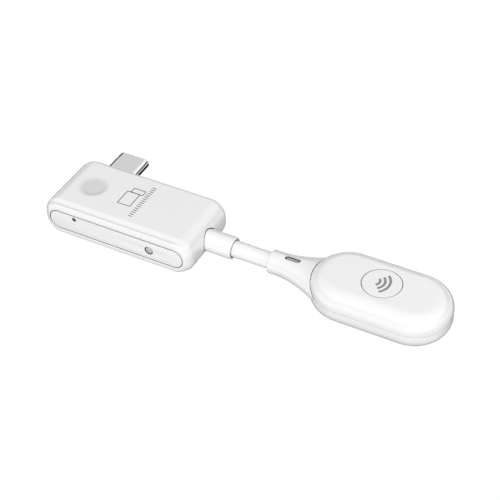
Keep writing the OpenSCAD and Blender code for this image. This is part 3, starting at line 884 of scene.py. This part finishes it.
def cable_skins():
    """The bare cable in two halves, each a straight jacket tube with four wires inside."""
    halves = (("near", NEAR_LO, NEAR_HI, "case", "lead"), ("far", FAR_LO, FAR_HI, "lead", "pod"))
    wire, spread_out = 0.55 * MM, 0.65 * MM
    for side, lo, hi, a, b in halves:
        jacket = skin(f"cable_{side}_skin",
                      tube_rings(CABLE_RADIUS, 1.5 * MM, lo.x, hi.x, steps=72, rings=28), loop=True)
        dress(jacket, "cable_jacket")
        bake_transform(jacket)
        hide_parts(f"cable_{side}")
        verts, faces = [], []
        for sy in (-1, 1):
            for sz in (-1, 1):
                rings = tube_rings(wire, 0, lo.x, hi.x, sy * spread_out, sz * spread_out, 16, 20)
                faces += ring_faces(16, 20, False, len(verts))
                verts += [p for ring in rings for p in ring]
        cores = add_mesh(f"wires_{side}_skin", verts, faces)
        dress(cores, "wire_insulation")
        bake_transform(cores)
        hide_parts(f"wires_{side}")


# ---- neck ----


def pod_distance(p, grow=0.0):
    """Distance from a point to the pod's surface, negative inside."""
    half = (POD_HI - POD_LO) / 2
    core = half.x - half.y
    x = max(abs(p[0] - POD_X) - core, 0)
    flat = math.hypot(x, p[1]) - (half.y - POD_ROUND)
    high = abs(p[2] - POD_MID) - (half.z - POD_ROUND)
    outside = math.hypot(max(flat, 0), max(high, 0))
    return outside + min(max(flat, high), 0) - POD_ROUND - grow


def neck_point(x, angle):
    """A point of the neck's loft: round at the mouth, wider and squarer towards the pod."""
    share = max(0.0, (x - NECK_STRAIGHT) / (NECK_REACH - NECK_STRAIGHT))
    wide = NECK_RADIUS + (NECK_FLARE - NECK_RADIUS) * share ** NECK_CURVE
    n = 2 + (NECK_SQUARE - 2) * (wide - NECK_RADIUS) / (NECK_FLARE - NECK_RADIUS)
    c, s = math.cos(angle), math.sin(angle)
    return (NECK_LO.x + x,
            wide * math.copysign(abs(c) ** (2 / n), c),
            LEAD_Z + NECK_RADIUS * math.copysign(abs(s) ** (2 / n), s))


def neck_limit(angle):
    """How far along the neck its outline meets the pod's surface, less the seam's gap."""
    low, high = 4 * MM, NECK_REACH
    for _ in range(40):
        mid = (low + high) / 2
        if pod_distance(neck_point(mid, angle), NECK_SEAM_GAP) > 0:
            low = mid
        else:
            high = mid
    return low


def neck_seam_ring(angles, ends, inset, back):
    """A ring just inside the neck's seam edge, kept clear of the gap to the pod."""
    ring = []
    for angle, end in zip(angles, ends):
        p = Vector(neck_point(end - back, angle))
        p -= Vector((0, p.y, p.z - LEAD_Z)).normalized() * inset
        for _ in range(6):
            p.x -= seam_step_back(p)
        ring.append(tuple(p))
    return ring


def seam_step_back(p):
    """How far to move a point back along X when it has come inside the seam's gap."""
    return min(0.0, pod_distance(p) - NECK_SEAM_GAP) * -0.9


def neck_skin():
    """The flared neck, hollow for the cable and fitted to the pod's surface with a narrow gap."""
    steps, stations, lip, edge = 128, 72, 0.3 * MM, 0.05 * MM
    hollow = BORE_RADIUS + MOUTH_GAP
    angles = [2 * math.pi * i / steps for i in range(steps)]
    ends = [neck_limit(a) for a in angles]
    rings = []

    def mouth_ring(x, radius):
        rings.append([(NECK_LO.x + x, radius * math.cos(a), LEAD_Z + radius * math.sin(a))
                      for a in angles])

    for x, radius in ((4 * MM, BORE_RADIUS), (0.5 * MM, BORE_RADIUS), (0.5 * MM, hollow),
                      (0.05 * MM, hollow), (0, hollow + 0.05 * MM)):
        mouth_ring(x, radius)
    for inset, rise in reversed(quarter(lip, 6)):
        mouth_ring(lip - rise, NECK_RADIUS - inset)
    for k in range(1, stations + 1):
        share = k / stations
        rings.append([neck_point(lip + (end - edge - lip) * share, a)
                      for a, end in zip(angles, ends)])
    for inset, back in ((0.02 * MM, 0.012 * MM), (0.06 * MM, 0.0), (0.9 * MM, 0.0)):
        rings.append(neck_seam_ring(angles, ends, inset, back))
    mouth_ring(POD_LO.x - NECK_LO.x - 0.6 * MM, BORE_RADIUS + 0.5 * MM)
    mouth_ring(POD_LO.x - NECK_LO.x - 0.8 * MM, BORE_RADIUS)
    obj = skin("neck_skin", rings, loop=True)
    cut_slot(obj)
    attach(obj, "pod")
    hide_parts("neck_boot")
    return dress(obj, "white_plastic")


def cut_slot(obj):
    """Cuts the rounded slot into the neck's top."""
    points = outline(SLOT_L, SLOT_W, SLOT_W * SLOT_STADIUM, 2, 1, 12)
    rings = [[(SLOT_X + x, y, z) for x, y in points] for z in (SLOT_LO.z - 0.02 * MM, CASE_HI.z)]
    carve(obj, skin("slot_tool", rings))


def slot_window():
    """The smoked window in the slot, a little below the neck's surface, in a dark frame."""

    def ring(inset, z):
        points = outline(SLOT_L - inset, SLOT_W - inset, (SLOT_W - inset) * SLOT_STADIUM, 6, 1, 12)
        return [(SLOT_X + x, y, z) for x, y in points]

    top, gap, border = SLOT_HI.z, 0.03 * MM, 0.30 * MM
    window = skin("slot_window", [
        ring(border, SLOT_LO.z), ring(border, top - 0.10 * MM),
        ring(border + 0.02 * MM, top - 0.06 * MM), ring(border + 0.07 * MM, top - 0.04 * MM),
        ring(border + 0.3 * MM, top - 0.03 * MM)])
    rim = skin("slot_frame", [
        ring(gap, SLOT_LO.z), ring(gap, top - 0.03 * MM), ring(gap + 0.03 * MM, top),
        ring(border - 0.05 * MM, top), ring(border - 0.02 * MM, top - 0.03 * MM),
        ring(border - 0.02 * MM, SLOT_LO.z)], loop=True)
    for obj in (window, rim):
        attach(obj, "pod")
    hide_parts("slot_insert")
    dress(window, "dark_window")
    dress(rim, "dark_window", "dark_frame")


# ---- pod ----


def pod_ring(inset, z):
    """A stadium ring of the pod at height z."""
    half = (POD_HI - POD_LO) / 2
    radius = half.y - inset
    points = outline(half.x - inset, radius, radius * POD_STADIUM, 40, 1, 40)
    return np.array([(POD_X + x, y, z) for x, y in points])


def hole_ring(radius, z):
    """A round ring about the button, in step with the stadium rings."""
    ring = pod_ring(0, z)
    angle = np.arctan2(ring[:, 1], ring[:, 0] - POD_X)
    return np.column_stack([POD_X + radius * np.cos(angle), radius * np.sin(angle), ring[:, 2]])


def pod_half_profile(sign):
    """(inset, z) of a half shell's outside, from its seam edge to its flat face."""
    half_h = (POD_HI.z - POD_LO.z) / 2
    seam = [((POD_SEAM_EDGE - rise * 0.9) * 0.9, POD_SEAM_GAP / 2 + inset)
            for inset, rise in quarter(POD_SEAM_EDGE, 4)]
    straight = [(0, h) for h in np.linspace(POD_SEAM_EDGE * 1.6, half_h - POD_ROUND, 5)[1:-1]]
    fillet = [(inset, half_h - POD_ROUND + rise) for inset, rise in quarter(POD_ROUND, 24)]
    return [(inset, POD_MID + sign * h) for inset, h in seam + straight + fillet]


def pod_top_skin():
    """The pod's upper half shell, with the button's hole."""
    hole = BUTTON_RADIUS + BUTTON_GAP
    edge = 0.06 * MM
    rings = [pod_ring(inset, z) for inset, z in pod_half_profile(1)]
    rings += [hole_ring(hole + inset, POD_HI.z - edge + rise)
              for inset, rise in reversed(quarter(edge, 4))]
    ceiling = POD_HI.z - POD_WALL
    inner_round = POD_ROUND - POD_WALL
    rings.append(hole_ring(hole, ceiling))
    rings += [pod_ring(POD_WALL + inset, ceiling - inner_round + rise)
              for inset, rise in reversed(quarter(inner_round, 8))]
    rings.append(pod_ring(POD_WALL, POD_MID + POD_SEAM_GAP / 2))
    obj = skin("pod_top_skin", rings, loop=True)
    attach(obj, "pod")
    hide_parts("pod_top")
    return dress(obj, "white_plastic")


def pod_bottom_skin():
    """The pod's lower half shell, closed underneath."""
    rings = [pod_ring(inset, z) for inset, z in pod_half_profile(-1)]
    half_w = (POD_HI.y - POD_LO.y) / 2
    rings.append(pod_ring(half_w * 0.8, POD_LO.z))
    floor = POD_LO.z + POD_WALL
    inner_round = POD_ROUND - POD_WALL
    inside = [pod_ring(half_w * 0.8, floor)]
    inside += [pod_ring(POD_WALL + inset, floor + inner_round - rise)
               for inset, rise in reversed(quarter(inner_round, 8))]
    inside.append(pod_ring(POD_WALL, POD_MID - POD_SEAM_GAP / 2))
    count = len(rings[0])
    # neither surface is capped at the seam, where the rim joins one to the other
    outer_faces = ring_faces(count, len(rings), False)
    outer_faces.pop(-2)
    inner_faces = ring_faces(count, len(inside), False, len(rings) * count)
    inner_faces.pop()
    last = (len(rings) + len(inside) - 1) * count
    rim = [(i, last + i, last + (i + 1) % count, (i + 1) % count) for i in range(count)]
    verts = np.concatenate(rings + inside)
    obj = add_mesh("pod_bottom_skin", verts, outer_faces + inner_faces + rim)
    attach(obj, "pod")
    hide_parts("pod_bottom")
    return dress(obj, "white_plastic")


def pod_seam_shade():
    """A grey ring in the groove between the two halves of the pod: painted shade, standing in for the
    groove's shadow.
    """
    back = POD_SEAM_GAP * 0.7
    rings = []
    for inset, rise in ((SHADE_RING_DEPTH, back), (SHADE_RING_DEPTH, -back), (0.5 * MM, -back), (0.5 * MM, back)):
        rings.append(pod_ring(inset, POD_MID + rise))
    obj = skin("pod_seam_shade", rings, loop=True)
    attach(obj, "pod")
    return dress(obj, "dark_rubber", "seam_shade")


def pair_button_skin():
    """The button cap: a flush disc with a softened rim, a skirt and a hollow underside."""
    top, skirt_low = BUTTON_HI.z, 7.25 * MM
    skirt_top, roof = 7.7 * MM, 8.1 * MM
    skirt_radius = (BUTTON_HI.x - BUTTON_LO.x) / 2
    edge = 0.08 * MM
    boss = 1.0 * MM
    profile = [(top, 0.03 * MM)]
    profile += [(top, r * MM) for r in (1.0, 2.0, 3.0, 4.0)]
    profile += [(top - edge + rise, BUTTON_RADIUS - inset) for inset, rise in reversed(quarter(edge, 5))]
    profile += [(skirt_top, BUTTON_RADIUS), (skirt_top, skirt_radius), (skirt_low, skirt_radius),
                (skirt_low, 3.6 * MM), (roof, 3.6 * MM), (roof, boss), (BUTTON_LO.z, boss),
                (BUTTON_LO.z, 0.03 * MM)]
    obj = lathe("pair_button_skin", profile, (POD_X, 0, 0), (0, 0, 1), steps=96)
    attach(obj, "button")
    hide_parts("pair_button")
    return dress(obj, "white_plastic")


# ---- studio ----

# the photograph's viewing angle in degrees, and the point looked at in millimetres
VIEW_ANGLES = (28.701, 41.745, -1.367)
VIEW_POINT = Vector((27.816, 5.591, 0.033)) * MM
VIEW_DISTANCE = 0.315
VIEW_LENS = 95.78

KEY = {"toward": (-0.02, -0.77, 0.64), "away": 0.9, "size": 0.5, "power": 4.15}
SIDE = {"toward": (0.95, -0.10, 0.28), "away": 0.25, "size": 0.12, "power": 0.11}

# (sine of the height above the horizon, level) of the walls: as fill light, in reflections
# towards -X, and in reflections towards +X
WORLD_SOFT = [(0.0, 0.55), (0.6, 0.62), (1.0, 0.64)]
WORLD_BANDS = [(0.0, 0.02), (0.44, 0.02), (0.52, 0.86), (1.0, 0.86)]
WORLD_SIDE_BANDS = [(0.0, 0.95), (0.08, 0.95), (0.15, 0.02), (0.43, 0.02), (0.52, 1.3), (0.74, 1.3),
                    (0.82, 0.86), (1.0, 0.86)]
# X of the direction over which the first bands turn into the second
WORLD_TURN = (-0.30, -0.14)

# the floor's level seen directly, as fill light, and in reflections inside and outside the strip
FLOOR_SEEN, FLOOR_FILL, FLOOR_STRIP, FLOOR_BEYOND = 1.02, 0.72, 0.03, 0.95
# Y of the two sides of the strip that is dark in reflections
FLOOR_DARK = (-60 * MM, 190 * MM)
# low enough that the pod is clear of the floor at the end of the lead's lift
FLOOR_LEVEL = -45 * MM
FLOOR_HALF = 4.0


def camera_axes(azimuth, elevation, roll):
    """Right, up and back vectors of a camera; azimuth 0 looks along +Y."""
    a, e, r = (math.radians(v) for v in (azimuth, elevation, roll))
    right = Vector((math.cos(a), math.sin(a), 0))
    away = Vector((-math.sin(a), math.cos(a), 0))
    back = -away * math.cos(e) + Vector((0, 0, 1)) * math.sin(e)
    up = away * math.sin(e) + Vector((0, 0, 1)) * math.cos(e)
    return (right * math.cos(r) + up * math.sin(r), -right * math.sin(r) + up * math.cos(r), back)


def add_camera():
    right, up, back = camera_axes(*VIEW_ANGLES)
    data = bpy.data.cameras.new("camera")
    data.sensor_width = 36
    data.lens = VIEW_LENS
    data.clip_start = 0.01
    data.clip_end = 50
    cam = bpy.data.objects.new("camera", data)
    bpy.context.scene.collection.objects.link(cam)
    turn = Matrix((right, up, back)).transposed().to_4x4()
    cam.matrix_world = Matrix.Translation(VIEW_POINT + back * VIEW_DISTANCE) @ turn
    bpy.context.scene.camera = cam


def area_light(name, toward, away, size, power):
    """A round lamp at a distance from the point looked at, left out of reflections."""
    data = bpy.data.lights.new(name, "AREA")
    data.shape = "DISK"
    data.size = size
    data.energy = power
    lamp = bpy.data.objects.new(name, data)
    bpy.context.scene.collection.objects.link(lamp)
    direction = Vector(toward).normalized()
    lamp.location = VIEW_POINT + direction * away
    lamp.rotation_euler = direction.to_track_quat("Z", "Y").to_euler()
    lamp.visible_glossy = False
    lamp.visible_camera = False


def height_ramp(tree, height, stops):
    """A colour ramp of greys by height, from (height, level) pairs."""
    ramp = tree.nodes.new("ShaderNodeValToRGB")
    elements = ramp.color_ramp.elements
    while len(elements) < len(stops):
        elements.new(0.5)
    for element, (position, level) in zip(elements, stops):
        element.position = position
        element.color = (level, level, level, 1)
    tree.links.new(height, ramp.inputs["Fac"])
    return ramp.outputs["Color"]


def add_world():
    """Studio walls: white to the camera, an even fill as light, and banded in reflections."""
    world = bpy.data.worlds.new("studio")
    bpy.context.scene.world = world
    world.use_nodes = True
    tree = world.node_tree
    coords = tree.nodes.new("ShaderNodeTexCoord")
    split = tree.nodes.new("ShaderNodeSeparateXYZ")
    tree.links.new(coords.outputs["Generated"], split.inputs["Vector"])
    soft, bands, side_bands = (height_ramp(tree, split.outputs["Z"], stops)
                               for stops in (WORLD_SOFT, WORLD_BANDS, WORLD_SIDE_BANDS))
    turn = tree.nodes.new("ShaderNodeMapRange")
    turn.inputs["From Min"].default_value, turn.inputs["From Max"].default_value = WORLD_TURN
    tree.links.new(split.outputs["X"], turn.inputs["Value"])
    path = tree.nodes.new("ShaderNodeLightPath")
    walls = mix_colours(tree, turn.outputs["Result"], bands, side_bands)
    lit = mix_colours(tree, path.outputs["Is Glossy Ray"], soft, walls)
    seen = mix_colours(tree, path.outputs["Is Camera Ray"], lit, (1, 1, 1))
    tree.links.new(seen, tree.nodes["Background"].inputs["Color"])


def floor_material():
    """White to the camera, dimmer as fill light, and in reflections dark in a strip along X."""
    mat = bpy.data.materials.new("floor_white")
    mat.use_nodes = True
    nodes, links = mat.node_tree.nodes, mat.node_tree.links

    def glow(level):
        node = nodes.new("ShaderNodeEmission")
        node.inputs["Color"].default_value = (level, level, level, 1)
        return node.outputs["Emission"]

    def choose(factor, low, high):
        node = nodes.new("ShaderNodeMixShader")
        for socket, source in zip(node.inputs, (factor, low, high)):
            links.new(source, socket)
        return node.outputs[0]

    path = nodes.new("ShaderNodeLightPath")
    coords = nodes.new("ShaderNodeTexCoord")
    split = nodes.new("ShaderNodeSeparateXYZ")
    links.new(coords.outputs["Object"], split.inputs["Vector"])
    strip = nodes.new("ShaderNodeMath")
    strip.operation = "COMPARE"
    strip.inputs[1].default_value = sum(FLOOR_DARK) / 2
    strip.inputs[2].default_value = (FLOOR_DARK[1] - FLOOR_DARK[0]) / 2
    links.new(split.outputs["Y"], strip.inputs[0])
    reflected = choose(strip.outputs["Value"], glow(FLOOR_BEYOND), glow(FLOOR_STRIP))
    lit = choose(path.outputs["Is Glossy Ray"], glow(FLOOR_FILL), reflected)
    seen = choose(path.outputs["Is Camera Ray"], lit, glow(FLOOR_SEEN))
    links.new(seen, nodes["Material Output"].inputs["Surface"])
    return mat


def add_floor():
    mesh = bpy.data.meshes.new("floor")
    corners = [(x * FLOOR_HALF, y * FLOOR_HALF, 0) for x, y in ((-1, -1), (1, -1), (1, 1), (-1, 1))]
    mesh.from_pydata(corners, [], [(0, 1, 2, 3)])
    floor = bpy.data.objects.new("floor", mesh)
    floor.location.z = FLOOR_LEVEL
    bpy.context.scene.collection.objects.link(floor)
    mesh.materials.append(floor_material())


def add_studio():
    add_camera()
    add_world()
    add_floor()
    area_light("key", **KEY)
    area_light("side", **SIDE)
    bpy.context.scene.view_settings.view_transform = "Standard"


dress_cad_nodes()
plug_case_skin()
front_panel_skin()
panel_gap_shade()
pinhole_mesh()
lamp_lens_skin()
lamp_gap_shade()
plug_shell_skin()
device_mark()
case_sleeve_skin()
sleeve_gap_shade()
mouth_gap_shades()
cable_skins()
neck_skin()
slot_window()
pod_top_skin()
pod_bottom_skin()
pod_seam_shade()
pair_button_skin()
button_gap_shade()
switch_dome_skin()
wave_mark()
add_studio()
